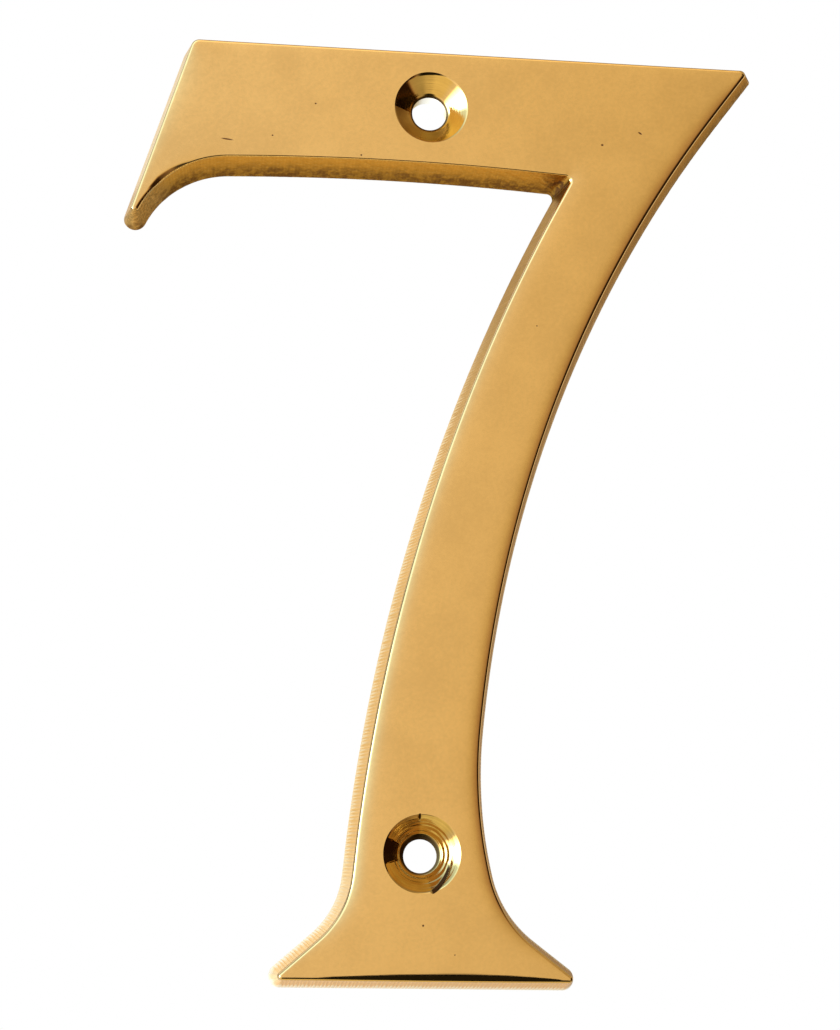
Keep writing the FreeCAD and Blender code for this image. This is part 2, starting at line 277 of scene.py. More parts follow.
def inner_room(points, normals):
    """Radius of the largest circle inside the outline that touches it at each point."""
    room = np.empty(len(points))
    for i, (point, normal) in enumerate(zip(points, normals)):
        away = points - point
        depth = -(away @ normal)
        square = np.einsum("ij,ij->i", away, away)
        inside = depth > 1e-7
        room[i] = np.min(square[inside] / (2 * depth[inside]))
    return room


def column_noise(points, depth, pitch, stretch, seed):
    """Noise between 0 and 1 that follows a wall: fine along it, and longer from front to back."""
    level = depth / (pitch * stretch) + seed
    spots = [(x / pitch, level, z / pitch) for x, z in points]
    return np.array([0.5 + 0.5 * noise.noise(Vector(spot)) for spot in spots])


# Marks in the countersinks. Angles are in degrees from the right, anticlockwise, lengths in millimetres.
TEAR_START = 287.0
TEAR_END = 352.0
TEAR_RADIUS = 3.1             # at the end of the tear
TEAR_DEPTH = 0.17
TEAR_HALF_WIDTH = 0.22
NICK = 94.0
NICK_HALF_ANGLE = 2.6
NICK_DEPTH = 0.12
LAND_START = (155, 158)       # the land eases in between these angles
LAND_END = (194, 197)         # and out between these
LAND_SLOPE = 1.35
PATCH_TURN = 1.6              # spread of the chatter round the cone
PATCH_PITCH = 0.3             # and down it
CHAMFER_MIDDLE = 110
CHAMFER_HALVES = (52, 26)     # half angles of the chamfer, to its right and to its left
CHAMFER_WIDTH = 0.12
CHAMFER_SLOPE = 1.73
BURR_UPPER = 0.20             # width of the burr round the upper hole
BURR_LOWER = 0.37             # mean width round the lower one
BURR_SWING = 0.17             # how far that width swings about its mean
BURR_WIDEST = 85              # where it is widest
# Section of a burr: share of its width, and depth below the bottom of the cone.
BURR_SECTION = ((0.5, 0.03), (1.0, 0.10), (1.0, 0.15), (0.5, 0.22), (0.0, 0.34))


def tear_path(rim, along):
    """Radius of the tear, which leaves the rim steeply and then runs round the hole."""
    left = 1 - along
    return TEAR_RADIUS + (rim - TEAR_RADIUS) * (left * left)


class Numeral:
    """Rings of points from the back of the numeral, up its wall and over its edge to the face."""

    WALL_ROWS = 10
    EDGE_ROWS = 9
    ROLL_STEPS = (0.09, 0.18, 0.27, 0.36, 0.47, 0.62, 0.85, 1.15, 1.55, 2.1, 2.8, 3.8, 5.2)
    BACK_BREAK = 0.06 * MM
    LENS_MIDDLE = 5 * MM
    LENS_HALVES = (16.2 * MM, 10.4 * MM)
    SERIF_WIDTH = 0.30 * MM
    SERIF_ANGLE = math.radians(30)
    SERIF_ENDS = (-31 * MM, -23.5 * MM)

    def __init__(self, sizes):
        self.sizes = sizes
        lean = math.tan(sizes.draft)
        back = smooth_columns(back_corners(frame["nodes"][NODE]), sizes.column_step)
        spread = spread_of(back, 0.8 * MM)
        self.back = back
        self.spread = spread
        self.front = back - spread * (sizes.thickness * lean)
        self.normals = outward(self.front)
        self.room = inner_room(self.front, self.normals)
        self.faces = self.facing()
        self.rings = []
        self.kinds = []
        self.wall(lean)
        self.edge_and_roll()

    def facing(self):
        """Shares of the outline: to the right, to the left, at the foot, under the bar, inside the serif,
        and towards the top.
        """
        x, z = self.normals.T
        low = self.front[:, 1].min()
        serif = smoothstep(0.0, 0.3, x) * smoothstep(0.1, 0.4, -z) * (self.front[:, 1] > 20 * MM)
        return {
            "right": np.clip(x, 0, 1),
            "left": np.clip(-x, 0, 1),
            "foot": smoothstep(0.93, 0.995, -z) * (self.front[:, 1] < low + 1 * MM),
            "under": smoothstep(0.3, 0.8, -z) * (self.front[:, 1] > 20 * MM),
            "serif": serif * (1 - smoothstep(*self.SERIF_ENDS, self.front[:, 0])),
            "high": smoothstep(0.0, 40 * MM, self.front[:, 1]),
        }

    def add(self, kind, points, y):
        """Adds a ring at a depth, or at a depth for each of its points."""
        ring = np.empty((len(points), 3))
        ring[:, 0] = points[:, 0]
        ring[:, 1] = y
        ring[:, 2] = points[:, 1]
        self.rings.append(ring)
        self.kinds.append(kind)

    def wall(self, lean):
        sizes = self.sizes
        self.add(BACK, self.back - self.spread * self.BACK_BREAK, 0.0)
        height = sizes.thickness - sizes.edge_radius * (1 - math.sin(sizes.draft)) - self.BACK_BREAK
        for row in range(self.WALL_ROWS):
            share = row / self.WALL_ROWS
            y = -self.BACK_BREAK - height * share
            hollow = self.relief(y, share)
            inward = self.spread * (-y * lean) + self.normals * hollow[:, None]
            self.add(WALL, self.back - inward, y)

    def relief(self, y, share):
        """Depth of the marks in the wall: linishing lines all round, and cast grain under the bar."""
        sizes = self.sizes
        lines = column_noise(self.front, y, 0.42 * MM, 60, 3.0)
        grain = column_noise(self.front, y, 0.55 * MM, 1.0, 11.0)
        clean = 1 - smoothstep(0.75, 1.0, share)
        rough = self.faces["under"] * (1 - smoothstep(0.15, 0.7, share))
        even = 1 - 0.7 * self.faces["under"]
        return clean * (sizes.striation_depth * lines * even + sizes.grain_depth * grain * rough)

    def held(self, distance):
        """A distance in from the outline, held back where the numeral is too narrow for it."""
        limit = 0.92 * self.room
        return distance / (1 + (distance / limit) ** 4) ** 0.25

    def inward(self, distance):
        """Points at a distance inside the outline, and how far in each of them really is."""
        travel = self.held(distance)
        return self.front - self.normals * travel[:, None], travel

    def fall(self, travel, angle, width):
        """Height lost to a rolled band, which starts at an angle and eases to nothing over a width."""
        reach = self.held(width)
        return np.tan(angle) * reach / 3 * np.clip(1 - travel / reach, 0, 1) ** 3

    def roll(self, travel):
        """How far the buffing has lowered the face at a distance from its edge."""
        sizes = self.sizes
        low = self.fall(travel, sizes.crown_angle, sizes.crown_width)
        low += self.fall(travel, sizes.roll_angle * self.faces["right"], sizes.roll_width)
        even = 1 - 0.6 * self.faces["high"]
        low += self.fall(travel, sizes.left_angle * self.faces["left"] * even, sizes.left_width)
        # The facet along the foot is a lens, widest a little right of the middle.
        aside = self.front[:, 0] - self.LENS_MIDDLE
        lens = 1 - (aside / np.where(aside < 0, *self.LENS_HALVES)) ** 2
        width = sizes.crescent_width * np.clip(lens, 0, 1)
        low += self.facet(travel, width, sizes.crescent_angle) * self.faces["foot"]
        serif = self.faces["serif"]
        low += self.facet(travel, self.SERIF_WIDTH * serif, self.SERIF_ANGLE) * serif
        return low

    def facet(self, travel, width, angle):
        """Height lost to a facet along the edge, which bends softly into the face."""
        reach = np.minimum(width + 0.8 * self.sizes.edge_radius, 0.5 * self.room)
        beyond = np.clip(reach - travel, 0, None)
        bend = 0.12 * MM
        eased = np.where(beyond < bend, beyond ** 2 / (2 * bend), beyond - bend / 2)
        return math.tan(angle) * eased

    def edge_and_roll(self):
        """Rounding between the wall and the rolled face, tangent to both, then the face itself."""
        sizes = self.sizes
        fuller = 0.5 * self.faces["right"] * self.faces["high"] - 0.45 * self.faces["under"]
        radius = sizes.edge_radius * (1 + fuller)
        draft = sizes.draft
        inset = radius * (1 - math.sin(draft)) / math.cos(draft)
        low = self.roll(self.held(inset))
        step = 0.04 * MM
        tilt = np.arctan((low - self.roll(self.held(inset + step))) / step)
        # The middle of the rounding lies its radius inside the wall's line and the face's line.
        in_wall = sizes.thickness * math.sin(draft) - radius
        in_face = (sizes.thickness - low) * np.cos(tilt) - inset * np.sin(tilt) - radius
        scale = math.cos(draft) * np.cos(tilt) - math.sin(draft) * np.sin(tilt)
        middle_out = (in_wall * np.cos(tilt) - in_face * math.sin(draft)) / scale
        middle_front = (in_face * math.cos(draft) - in_wall * np.sin(tilt)) / scale
        for row in range(self.EDGE_ROWS + 1):
            angle = draft + (math.pi / 2 - tilt - draft) * row / self.EDGE_ROWS
            out = middle_out + radius * np.cos(angle)
            inner, _ = self.inward(np.clip(-out, 0, None))
            points = inner + self.spread * np.clip(out, 0, None)[:, None]
            self.add(FACE, points, -middle_front - radius * np.sin(angle))
        start = np.clip(-out, 0.05 * MM, None)
        for step in self.ROLL_STEPS:
            points, travel = self.inward(start + step * MM)
            self.add(FACE, points, self.roll(travel) - sizes.thickness)


def stack_rings(name, rings):
    """Object made of rings, each extruded from the one before, with both of its ends filled."""
    count = len(rings[0])
    deselect()
    bpy.ops.mesh.primitive_circle_add(vertices=count, radius=MM, fill_type="NOTHING")
    piece = bpy.context.object
    piece.name = piece.data.name = name
    for layer in ("column", "row"):
        piece.data.attributes.new(layer, "INT", "POINT")
    bpy.ops.object.mode_set(mode="EDIT")
    bpy.ops.mesh.select_mode(type="VERT")
    bpy.ops.mesh.select_all(action="SELECT")
    mesh = bmesh.from_edit_mesh(piece.data)
    mesh.verts.ensure_lookup_table()
    column = mesh.verts.layers.int["column"]
    for i, vertex in enumerate(mesh.verts):
        vertex[column] = i
    for row, ring in enumerate(rings):
        if row:
            bpy.ops.mesh.extrude_edges_indiv()
        mesh = bmesh.from_edit_mesh(piece.data)
        column = mesh.verts.layers.int["column"]
        level = mesh.verts.layers.int["row"]
        for vertex in mesh.verts:
            if vertex.select:
                vertex.co = ring[vertex[column]]
                vertex[level] = row
        bmesh.update_edit_mesh(piece.data)
    bpy.ops.mesh.edge_face_add()
    bpy.ops.mesh.select_all(action="DESELECT")
    bpy.ops.mesh.select_non_manifold(
        use_wire=False, use_multi_face=False, use_non_contiguous=False, use_verts=False)
    bpy.ops.mesh.edge_face_add()
    bpy.ops.mesh.select_all(action="SELECT")
    bpy.ops.mesh.normals_make_consistent(inside=False)
    bpy.ops.mesh.quads_convert_to_tris(quad_method="BEAUTY", ngon_method="BEAUTY")
    bpy.ops.object.mode_set(mode="OBJECT")
    return piece


def countersink_rings(sizes, hole):
    """Rings of the tool that cuts a countersunk hole, from before the face to behind the back.

    The lower tool chattered: it left a shallower land on the left, tore a groove in from the rim at the
    lower right, nicked the top and scored rings round the hole.
    """
    outer = sizes.countersink_diameter / 2
    inner = sizes.hole_diameter / 2
    depth = outer - inner
    angles = np.linspace(0, 2 * math.pi, 240, endpoint=False)
    degrees = np.degrees(angles)
    rough = hole.z < 0
    rim_levels = [-0.10, -0.04, -0.01, 0.02, 0.05, 0.08, 0.12, 0.16, 0.20]
    step = 0.055 if rough else 0.14
    levels = np.concatenate([rim_levels, np.arange(0.26, depth / MM - 0.02, step)])
    land = smoothstep(*LAND_START, degrees) * (1 - smoothstep(*LAND_END, degrees))
    along = (degrees - TEAR_START) / (TEAR_END - TEAR_START)
    tear = tear_path(outer / MM, along) * MM
    torn = (along > -0.05) * (1 - smoothstep(0.6, 1.0, along))
    nick = np.clip(1 - np.abs(degrees - NICK) / NICK_HALF_ANGLE, 0, 1)
    # The upper rim was broken with a chamfer at its top, widest a little to the left.
    aside = degrees - CHAMFER_MIDDLE
    chamfer = CHAMFER_WIDTH * MM * np.clip(1 - (aside / np.where(aside < 0, *CHAMFER_HALVES)) ** 2, 0, 1)
    # A burr is left round both holes, off centre round the lower one.
    burr = np.full(len(angles), BURR_UPPER * MM)
    if rough:
        burr = (BURR_LOWER + BURR_SWING * np.cos(angles - math.radians(BURR_WIDEST))) * MM
    rings = []

    def add(radius, level):
        ring = np.empty((len(angles), 3))
        ring[:, 0] = hole.x + radius * np.cos(angles)
        ring[:, 1] = level - sizes.thickness
        ring[:, 2] = hole.z + radius * np.sin(angles)
        rings.append(ring)

    for level in levels * MM:
        lip = 3.0 / MM * max(0.12 * MM - level, 0) ** 2
        radius = np.full(len(angles), outer - level + lip)
        if rough:
            shallow = np.maximum(outer - LAND_SLOPE * level + lip, np.minimum(radius, inner + 0.25 * MM))
            radius = radius + (shallow - radius) * land
            groove = np.clip(1 - np.abs(outer - level - tear) / (TEAR_HALF_WIDTH * MM), 0, 1)
            radius = radius + TEAR_DEPTH * MM * torn * groove
            radius = radius + NICK_DEPTH * MM * nick * (1 - smoothstep(0.3 * MM, 0.6 * MM, level))
            score = math.sin(level / (0.062 * MM)) * smoothstep(0.5 * MM, 1.5 * MM, level)
            down = level / (PATCH_PITCH * MM)
            spots = [(math.cos(a) * PATCH_TURN, math.sin(a) * PATCH_TURN, down) for a in angles]
            patches = np.array([noise.noise(Vector(spot)) for spot in spots])
            radius = radius + (0.012 * score + 0.016 * patches) * (1 - land) * MM
        else:
            radius = np.maximum(radius, outer + chamfer - CHAMFER_SLOPE * level)
        add(radius, level)
    for share, below in BURR_SECTION:
        add(inner - share * burr, depth + below * MM)
    add(inner, sizes.thickness - 0.12 * MM)
    add(inner + 0.12 * MM, sizes.thickness)
    add(inner + 0.6 * MM, sizes.thickness + 0.5 * MM)
    return rings


def cut(piece, tool):
    """Takes a tool's solid out of a piece, and leaves the tool's material on the cut."""
    deselect()
    bpy.context.view_layer.objects.active = piece
    piece.select_set(True)
    bpy.ops.object.modifier_add(type="BOOLEAN")
    modifier = piece.modifiers[-1]
    modifier.operation = "DIFFERENCE"
    modifier.solver = "EXACT"
    modifier.material_mode = "TRANSFER"
    modifier.object = tool
    bpy.ops.object.modifier_apply(modifier=modifier.name)
    bpy.data.objects.remove(tool)


def part_materials(piece):
    """Marks the edges between two finishes sharp, so that the flat face stays flat up to them."""
    mesh = bmesh.new()
    mesh.from_mesh(piece.data)
    for edge in mesh.edges:
        finishes = {face.material_index for face in edge.link_faces}
        if len(finishes) > 1:
            edge.smooth = False
    mesh.to_mesh(piece.data)
    mesh.free()


class Graph:
    """Node tree of a material or of the world."""

    def __init__(self, owner):
        owner.use_nodes = True
        self.tree = owner.node_tree
        self.tree.nodes.clear()

    def node(self, kind, settings=None, **inputs):
        """Adds a node, makes its settings, then fills its sockets. Names use _ for a space."""
        made = self.tree.nodes.new(kind)
        for name, value in (settings or {}).items():
            setattr(made, name, value)
        for name, value in inputs.items():
            number = name[1:] if name.startswith("n") and name[1:].isdigit() else None
            socket = made.inputs[int(number)] if number else made.inputs[name.replace("_", " ")]
            if isinstance(value, Value):
                self.tree.links.new(value.socket, socket)
            else:
                socket.default_value = value
        return made

    def out(self, made, name=0):
        return Value(self, made.outputs[name])

    def maths(self, operation, *values):
        made = self.node("ShaderNodeMath", {"operation": operation},
                         **{f"n{i}": value for i, value in enumerate(values)})
        return self.out(made)

    def noise(self, place, scale, detail=2.0, roughness=0.5):
        made = self.node("ShaderNodeTexNoise", {"noise_dimensions": "3D"},
                         Vector=place, Scale=scale, Detail=detail, Roughness=roughness)
        return self.out(made, "Fac")

    def ramp(self, value, low, high, to_low=0.0, to_high=1.0):
        """Smooth step of a value from one pair of limits to another."""
        made = self.node("ShaderNodeMapRange", {"interpolation_type": "SMOOTHSTEP"},
                         Value=value, From_Min=low, From_Max=high, To_Min=to_low, To_Max=to_high)
        return self.out(made)

    def blend(self, share, first, second):
        made = self.node("ShaderNodeMix", {"data_type": "RGBA"}, n0=share, n6=first, n7=second)
        return self.out(made, 2)

    def stretch(self, place, scale, move=(0, 0, 0)):
        made = self.node("ShaderNodeMapping", {"vector_type": "POINT"},
                         Vector=place, Location=move, Scale=scale)
        return self.out(made)

    def position(self):
        """Object coordinates in millimetres, as a vector and as its three parts."""
        made = self.node("ShaderNodeTexCoord")
        place = self.stretch(self.out(made, "Object"), (1000, 1000, 1000))
        parts = self.node("ShaderNodeSeparateXYZ", Vector=place)
        return place, *(self.out(parts, axis) for axis in "XYZ")


class Value:
    """Output socket of a node, with which numbers are worked out."""

    def __init__(self, graph, socket):
        self.graph = graph
        self.socket = socket

    def __add__(self, other):
        return self.graph.maths("ADD", self, other)

    def __sub__(self, other):
        return self.graph.maths("SUBTRACT", self, other)

    def __rsub__(self, other):
        return self.graph.maths("SUBTRACT", other, self)

    def __mul__(self, other):
        return self.graph.maths("MULTIPLY", self, other)

    def __truediv__(self, other):
        return self.graph.maths("DIVIDE", self, other)

    def __abs__(self):
        return self.graph.maths("ABSOLUTE", self)

    def root(self):
        return self.graph.maths("SQRT", self)

    __radd__ = __add__
    __rmul__ = __mul__


def shade(colour, factor):
    return tuple(part * factor for part in colour) + (1.0,)


def finish_material(graph, normal=None, **inputs):
    """Ends a material in a metal shader."""
    shader = graph.node("ShaderNodeBsdfPrincipled", None, **inputs)
    if normal is not None:
        graph.tree.links.new(normal.socket, shader.inputs["Normal"])
    graph.node("ShaderNodeOutputMaterial", None, Surface=graph.out(shader))


def bump(graph, height, distance, strength=1.0):
    made = graph.node("ShaderNodeBump", None, Strength=strength, Distance=distance, Height=height)
    return graph.out(made, "Normal")


# Small flaws of the polished face: middle (x, z), half length, half width, and lean in degrees.
FLAWS = (
    (-22.2, 35.6, 0.62, 0.09, -6),
    (-12.7, 40.2, 0.10, 0.10, 0),
    (-17.3, 36.3, 0.09, 0.09, 0),
    (-7.6, 34.6, 0.10, 0.10, 0),
    (23.3, 38.8, 0.24, 0.10, -32),
    (19.05, 37.2, 0.14, 0.12, 0),
    (11.8, 16.2, 0.07, 0.07, 0),
    (0.2, -47.75, 0.10, 0.10, 0),
    (3.5, -50.65, 0.06, 0.06, 0),
)


def polished_face(sizes):
    material = bpy.data.materials.new("polished brass face")
    graph = Graph(material)
    place, x, _, z = graph.position()
    cloud = graph.noise(place, 0.16, 3.0, 0.6)
    speckle = graph.noise(place, 2.6, 2.0, 0.6)
    tone = graph.ramp(cloud * 0.6 + speckle * 0.4, 0.3, 0.7)
    colour = graph.blend(tone, shade(sizes.brass, 0.93), shade(sizes.brass, 1.05))
    flaw = None
    for middle_x, middle_z, length, width, lean in FLAWS:
        c, s = math.cos(math.radians(lean)), math.sin(math.radians(lean))
        right, above = x - middle_x, z - middle_z
        along = (right * c + above * s) / length
        across = (above * c - right * s) / width
        spot = graph.ramp((along * along + across * across).root(), 1.3, 0.7)
        flaw = spot if flaw is None else graph.maths("MAXIMUM", flaw, spot)
    colour = graph.blend(flaw, colour, shade(sizes.patina_and_shade, 1.6))
    rough = 0.10 + 0.05 * tone + 0.3 * flaw
    ripple = graph.noise(place, 0.22, 1.0, 0.4)
    normal = bump(graph, ripple - flaw * 0.4, 0.05 * MM, 0.35)
    finish_material(graph, normal, Base_Color=colour, Roughness=rough, Metallic=1.0)
    return material


def linished_wall(sizes):
    material = bpy.data.materials.new("linished brass wall")
    graph = Graph(material)
    place, x, y, z = graph.position()
    line = graph.node("ShaderNodeAttribute", {"attribute_name": "wall_line"})
    outline = graph.stretch(graph.out(line, "Vector"), (1000, 1000, 1000))
    side = graph.node("ShaderNodeAttribute", {"attribute_name": "wall_side"})
    shares = graph.node("ShaderNodeSeparateXYZ", Vector=graph.out(side, "Vector"))
    right, left, under = (graph.out(shares, axis) for axis in "XYZ")
    length = graph.node("ShaderNodeAttribute", {"attribute_name": "wall_run"})
    run = graph.out(length, "Fac") * 1000
    coarse = graph.noise(outline, 2.4, 1.0)
    fine = graph.noise(outline, 6.5, 1.0)
    teeth = graph.maths("SINE", run * (2 * math.pi / TEETH_PITCH) + coarse * 6) * 0.5 + 0.5
    marks = graph.ramp(coarse * 0.3 + fine * 0.4 + teeth * 0.3, 0.34, 0.66)
    grain = graph.noise(place, 1.6, 4.0, 0.6)
    spots = graph.noise(place, 0.5, 3.0, 0.6)

    # Linished walls: golden brown high on the stem, paler below, bared towards the back, and painted pale
    # as a highlight on the left at the foot and at the end of the bar.
    low = graph.ramp(z, 24.0, -8.0)
    bared = graph.ramp(y + (marks - 0.5) * 1.6, -2.0, -0.1)
    bared = bared * graph.maths("MAXIMUM", graph.ramp(z, 22.0, 0.0), right * 0.7)
    # Painted highlight: the left-facing walls are painted pale at the foot and at the end of the bar, where
    # the light from the left falls; from here bared holds this painted highlight as well as the wear.
    painted_left_highlight = left * graph.ramp(z, -37.0, -49.0) + left * graph.ramp(x, -24.0, -28.0)
    bared = graph.maths("MINIMUM", bared + painted_left_highlight * 0.85, 1.0)
    colour = graph.blend(low, shade(sizes.cast, 0.70), shade(sizes.linished, 1.0))
    colour = graph.blend(marks * low * 0.3, colour, shade(sizes.worn_and_highlight, 1.0))
    colour = graph.blend(marks, graph.blend(0.08, colour, shade(sizes.patina_and_shade, 1.5)), colour)
    colour = graph.blend((1 - low) * graph.ramp(grain, 0.48, 0.68) * 0.45, colour, shade(sizes.patina_and_shade, 2.2))
    # Painted shade: the right-facing walls are painted in darker cast brass, on the side turned away from
    # the light.
    colour = graph.blend(right, colour, graph.blend(marks, shade(sizes.cast, 0.8), shade(sizes.cast, 1.25)))
    colour = graph.blend(bared, colour, shade(sizes.worn_and_highlight, 1.0))
    foot = graph.ramp(z, -42.0, -50.0) * graph.ramp(y + (marks - 0.5) * 0.8, -1.9, -0.3)
    colour = graph.blend(foot, colour, (1.0, 0.86, 0.62, 1.0))
    # A painted dark line along the front of the left walls stands in for the dark reflection at their
    # buffed edge.
    painted_dark_line = left * graph.ramp(y, -3.65, -3.95) * graph.ramp(z, -2.0, -24.0, 0.15, 0.85)
    colour = graph.blend(painted_dark_line, colour, shade(sizes.patina_and_shade, 2.0))

    # Cast skin under the bar, browner towards the back, with dirt there and in the inner corner.
    depth = graph.ramp(y + (grain - 0.5) * 3.0, -4.4, -0.6)
    skin = graph.blend(depth, shade(sizes.cast, 1.35), shade(sizes.cast, 0.72))
    tip = graph.ramp(z, 31.5, 29.0) * graph.ramp(x, -25.0, -28.0)
    pitted = graph.ramp(graph.noise(place, 3.2, 3.0, 0.6), 0.34, 0.66)
    pits = graph.blend(pitted, shade(sizes.linished, 0.45), shade(sizes.linished, 0.85))
    skin = graph.blend(tip, skin, pits)
    colour = graph.blend(graph.maths("MAXIMUM", under, tip), colour, skin)
    back = graph.ramp(y + (spots - 0.5) * 3.4, -2.9, -0.4)
    across = x - 15.2
    above = z - 33.4
    corner = graph.ramp((across * across + above * above).root() + (grain - 0.5) * 1.6, 3.0, 1.2)
    darkening = graph.maths("MAXIMUM", under * back * graph.ramp(grain + spots * 0.5, 0.62, 0.86) * 0.75,
                       corner * graph.ramp(grain, 0.40, 0.58) * graph.ramp(y, -4.2, -3.2) * 0.9)
    colour = graph.blend(darkening, colour, shade(sizes.patina_and_shade, 1.9))
    rough = 0.30 + 0.08 * marks + 0.25 * darkening + 0.1 * under
    normal = bump(graph, marks * (1 - under) * 0.7 + grain * (0.4 + under * 2.0), 0.06 * MM, 0.8)
    finish_material(graph, normal, Base_Color=colour, Roughness=rough, Metallic=1.0,
                    Specular_Tint=(0.88, 0.72, 0.50, 1.0))
    return material


def turned_cone(sizes):
    material = bpy.data.materials.new("turned brass countersink")
    graph = Graph(material)
    place, x, y, z = graph.position()
    above = abs(z) - HOLE_RISE
    radius = (x * x + above * above).root()
    ring_place = graph.node("ShaderNodeCombineXYZ", None, X=radius, Y=graph.ramp(z, -1, 1) * 9.0)
    rings = graph.noise(graph.out(ring_place), 5.0, 2.0, 0.6)
    cloud = graph.noise(place, 0.7, 2.0)
    tone = graph.ramp(rings * 0.6 + cloud * 0.4, 0.3, 0.7)
    upper_colour = graph.blend(tone, (0.68, 0.39, 0.10, 1.0), (0.84, 0.49, 0.13, 1.0))
    lower_colour = graph.blend(tone, (0.56, 0.34, 0.09, 1.0), (0.76, 0.48, 0.13, 1.0))
    lower = graph.ramp(z, 0.0, -1.0)
    upper = 1 - lower
    colour = graph.blend(lower, upper_colour, lower_colour)

    # Darker in the tear and in the nick of the lower countersink, and a painted shadow in a ring at the
    # edge round both holes.
    turn = graph.maths("ARCTAN2", z + HOLE_RISE, x) * (180 / math.pi)
    along = (turn + (360 - TEAR_START)) / (TEAR_END - TEAR_START)
    rim = sizes.countersink_diameter / 2 / MM
    path = tear_path(rim, along)
    width = 0.34 - 0.24 * along
    tear = graph.ramp(abs(radius - path) / width, 1.0, 0.6)
    tear = tear * graph.ramp(along, -0.06, 0.0) * graph.ramp(along, 1.0, 0.7)
    nick = graph.ramp(abs(turn - NICK), NICK_HALF_ANGLE, 1.0) * graph.ramp(radius, 3.4, 3.7)
    # Painted shadow: the ring at the edge round both holes is painted dark.
    edge = graph.ramp(y, -2.68, -2.59) * graph.ramp(y, -2.34, -2.42)
    darkening = graph.maths("MAXIMUM", lower * graph.maths("MAXIMUM", tear, nick), edge * 0.9)
    # Painted dark reflections: the upper cone is browner at its lower left, and the lower one at its upper
    # left.
    upper_turn = graph.maths("ARCTAN2", z - HOLE_RISE, x) * (180 / math.pi)
    upper_painted_dark = graph.ramp(upper_turn, -48.0, -78.0) * graph.ramp(upper_turn, -170.0, -130.0) * upper
    painted_dark_below = graph.ramp(turn, -60.0, -100.0, 0.0, 0.45)
    lower_painted_dark = graph.maths("MAXIMUM", graph.ramp(turn, 88.0, 98.0), painted_dark_below)
    painted_dark = graph.maths("MAXIMUM", upper_painted_dark, lower * lower_painted_dark) * graph.ramp(y, -2.35, -2.60)
    painted_dark_colour = graph.blend(tone, (0.34, 0.145, 0.030, 1.0), (0.50, 0.23, 0.050, 1.0))
    colour = graph.blend(painted_dark * 0.85, colour, painted_dark_colour)
    colour = graph.blend(darkening, colour, shade(sizes.patina_and_shade, 0.4))
    # Painted highlight: the bore is painted near white, so that it looks as bright as the white seen
    # through the hole.
    bore = graph.ramp(y, -2.42, -2.32)
    colour = graph.blend(bore, colour, (0.97, 0.92, 0.78, 1.0))
    normal = bump(graph, rings, 0.04 * MM, 0.25)
    matt = graph.ramp(abs(upper_turn + 150), 62.0, 30.0) * upper
    rough = 0.06 + 0.05 * cloud + 0.2 * bore + 0.3 * darkening + 0.26 * matt
    finish_material(graph, normal, Base_Color=colour, Roughness=rough, Metallic=1.0,
                    Specular_Tint=(0.95, 0.72, 0.40, 1.0))
    return material


def cast_back(sizes):
    material = bpy.data.materials.new("cast brass back")
    graph = Graph(material)
    place = graph.position()[0]
    grain = graph.noise(place, 1.8, 5.0, 0.65)
    cloud = graph.noise(place, 0.12, 3.0)
    scratches = graph.noise(graph.stretch(place, (0.25, 1.0, 4.0)), 1.6, 3.0, 0.6)
    tone = graph.ramp(grain * 0.4 + cloud * 0.35 + scratches * 0.25, 0.35, 0.65)
    colour = graph.blend(tone, shade(sizes.brass, 0.45), shade(sizes.brass, 0.85))
    normal = bump(graph, grain * 0.6 + scratches * 0.4, 0.06 * MM, 0.8)
    finish_material(graph, normal, Base_Color=colour, Roughness=0.38 + 0.16 * grain, Metallic=1.0)
    return material


class DOOR_NUMBER_OT_numeral(bpy.types.Operator):
    """Models the numeral over its solid, with buffed edges, linished walls and turned countersinks"""

    bl_idname = "door_number.numeral"
    bl_label = "Numeral seven"

    def execute(self, context):
        sizes = context.scene.door_number_sizes
        numeral = Numeral(sizes)
        piece = stack_rings("numeral_seven_brass", numeral.rings)
        first_face_row = numeral.kinds.index(FACE)

        materials = [polished_face(sizes), linished_wall(sizes), turned_cone(sizes), cast_back(sizes)]
        for material in materials:
            piece.data.materials.append(material)
        rows = np.zeros(len(piece.data.vertices), int)
        piece.data.attributes["row"].data.foreach_get("value", rows)
        columns = np.zeros(len(piece.data.vertices), int)
        piece.data.attributes["column"].data.foreach_get("value", columns)
        for face in piece.data.polygons:
            levels = rows[list(face.vertices)]
            if face.normal.y > 0.9:
                face.material_index = BACK
            elif levels.min() >= first_face_row:
                face.material_index = FACE
            else:
                face.material_index = WALL
        lines = piece.data.attributes.new("wall_line", "FLOAT_VECTOR", "POINT")
        outline = np.zeros((len(rows), 3))
        outline[:, [0, 2]] = numeral.front[columns]
        lines.data.foreach_set("vector", outline.ravel())
        runs = piece.data.attributes.new("wall_run", "FLOAT", "POINT")
        steps = np.linalg.norm(np.diff(numeral.front, axis=0, prepend=numeral.front[:1]), axis=1)
        runs.data.foreach_set("value", np.cumsum(steps)[columns])
        sides = piece.data.attributes.new("wall_side", "FLOAT_VECTOR", "POINT")
        shares = np.stack([numeral.faces[name] for name in ("right", "left", "under")], 1)[columns]
        sides.data.foreach_set("vector", shares.ravel())

        for number, hole in enumerate(HOLES):
            tool = stack_rings(f"countersink_tool_{number}", countersink_rings(sizes, hole))
            tool.data.materials.append(materials[CONE])
            cut(piece, tool)

        deselect()
        context.view_layer.objects.active = piece
        piece.select_set(True)
        bpy.ops.object.mode_set(mode="EDIT")
        bpy.ops.mesh.select_all(action="SELECT")
        bpy.ops.mesh.quads_convert_to_tris(quad_method="BEAUTY", ngon_method="BEAUTY")
        bpy.ops.object.mode_set(mode="OBJECT")
        bpy.ops.object.shade_smooth_by_angle(angle=SMOOTH_BELOW)
        part_materials(piece)
        bpy.ops.object.modifier_add(type="WEIGHTED_NORMAL")
        modifier = piece.modifiers[-1]
        modifier.keep_sharp = True
        bpy.ops.object.modifier_apply(modifier=modifier.name)

        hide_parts(NODE)
        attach(piece, "root")
        return {"FINISHED"}


